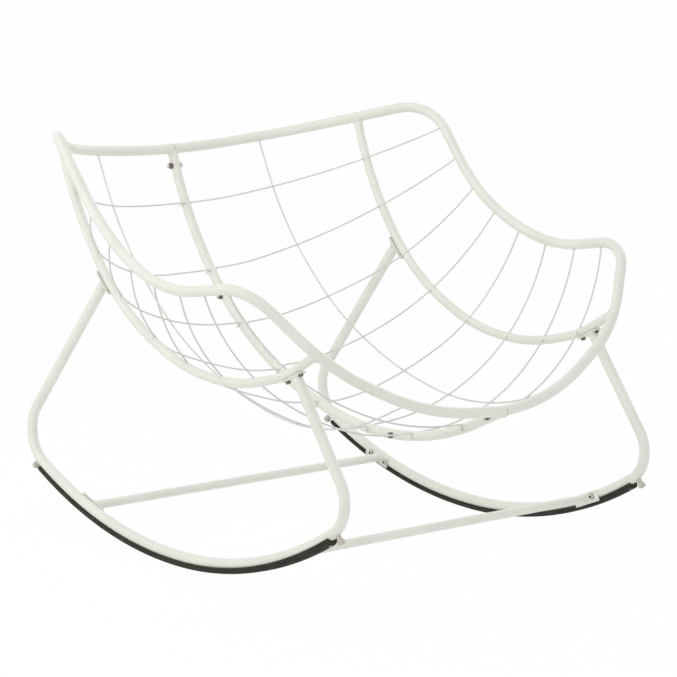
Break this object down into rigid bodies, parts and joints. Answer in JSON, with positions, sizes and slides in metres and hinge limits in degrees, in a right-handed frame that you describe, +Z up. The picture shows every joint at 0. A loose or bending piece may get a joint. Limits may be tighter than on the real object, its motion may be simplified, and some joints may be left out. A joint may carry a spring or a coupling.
{
  "type": "rocking egg chair",
  "caption": "Wide bowl-shaped rocking chair of bent steel tube and bare wire, on two curved rockers with rubber runners and crossbars.",
  "frame": {"origin": "on the floor, under the middle of the chair's outline", "axes": "+Z up, front of the chair towards -Y, +X to the right as seen from the front"},
  "size_m": [1.2068, 1.2823, 0.9754],
  "materials": {
    "cream_coat": "satin off-white powder coat",
    "runner_rubber": "matt black rubber",
    "stop_rubber": "matt grey-beige rubber",
    "dark_steel": "dark coated steel",
    "plain_steel": "bare steel"
  },
  "bodies": {
    "root": {"crossbar_bolts": "dark_steel", "crossbar_inserts": "plain_steel", "crossbar_washers": "dark_steel", "front_crossbar": "cream_coat", "left_cross_wire_1": "cream_coat", "left_cross_wire_2": "cream_coat", "left_cross_wire_3": "cream_coat", "left_cross_wire_4": "cream_coat", "left_cross_wire_5": "cream_coat", "left_cross_wire_6": "cream_coat", "left_cross_wire_7": "cream_coat", "left_cross_wire_8": "cream_coat", "left_front_flange": "cream_coat", "left_front_leg_plate": "cream_coat", "left_front_stop": "stop_rubber", "left_glide_strip": "runner_rubber", "left_inner_rib": "cream_coat", "left_long_wire": "cream_coat", "left_outer_rib": "cream_coat", "left_rear_flange": "cream_coat", "left_rear_leg_plate": "cream_coat", "left_rear_stop": "stop_rubber", "left_rim_tube": "cream_coat", "left_rocker_tube": "cream_coat", "leg_bolts": "dark_steel", "leg_inserts": "plain_steel", "leg_washers": "dark_steel", "rear_crossbar": "cream_coat", "rib_bolts": "dark_steel", "rib_nuts": "dark_steel", "right_cross_wire_1": "cream_coat", "right_cross_wire_2": "cream_coat", "right_cross_wire_3": "cream_coat", "right_cross_wire_4": "cream_coat", "right_cross_wire_5": "cream_coat", "right_cross_wire_6": "cream_coat", "right_cross_wire_7": "cream_coat", "right_cross_wire_8": "cream_coat", "right_front_flange": "cream_coat", "right_front_leg_plate": "cream_coat", "right_front_stop": "stop_rubber", "right_glide_strip": "runner_rubber", "right_inner_rib": "cream_coat", "right_long_wire": "cream_coat", "right_outer_rib": "cream_coat", "right_rear_flange": "cream_coat", "right_rear_leg_plate": "cream_coat", "right_rear_stop": "stop_rubber", "right_rim_tube": "cream_coat", "right_rocker_tube": "cream_coat", "rim_joint_pins": "plain_steel", "strip_screws": "dark_steel"}
  },
  "joints": []
}
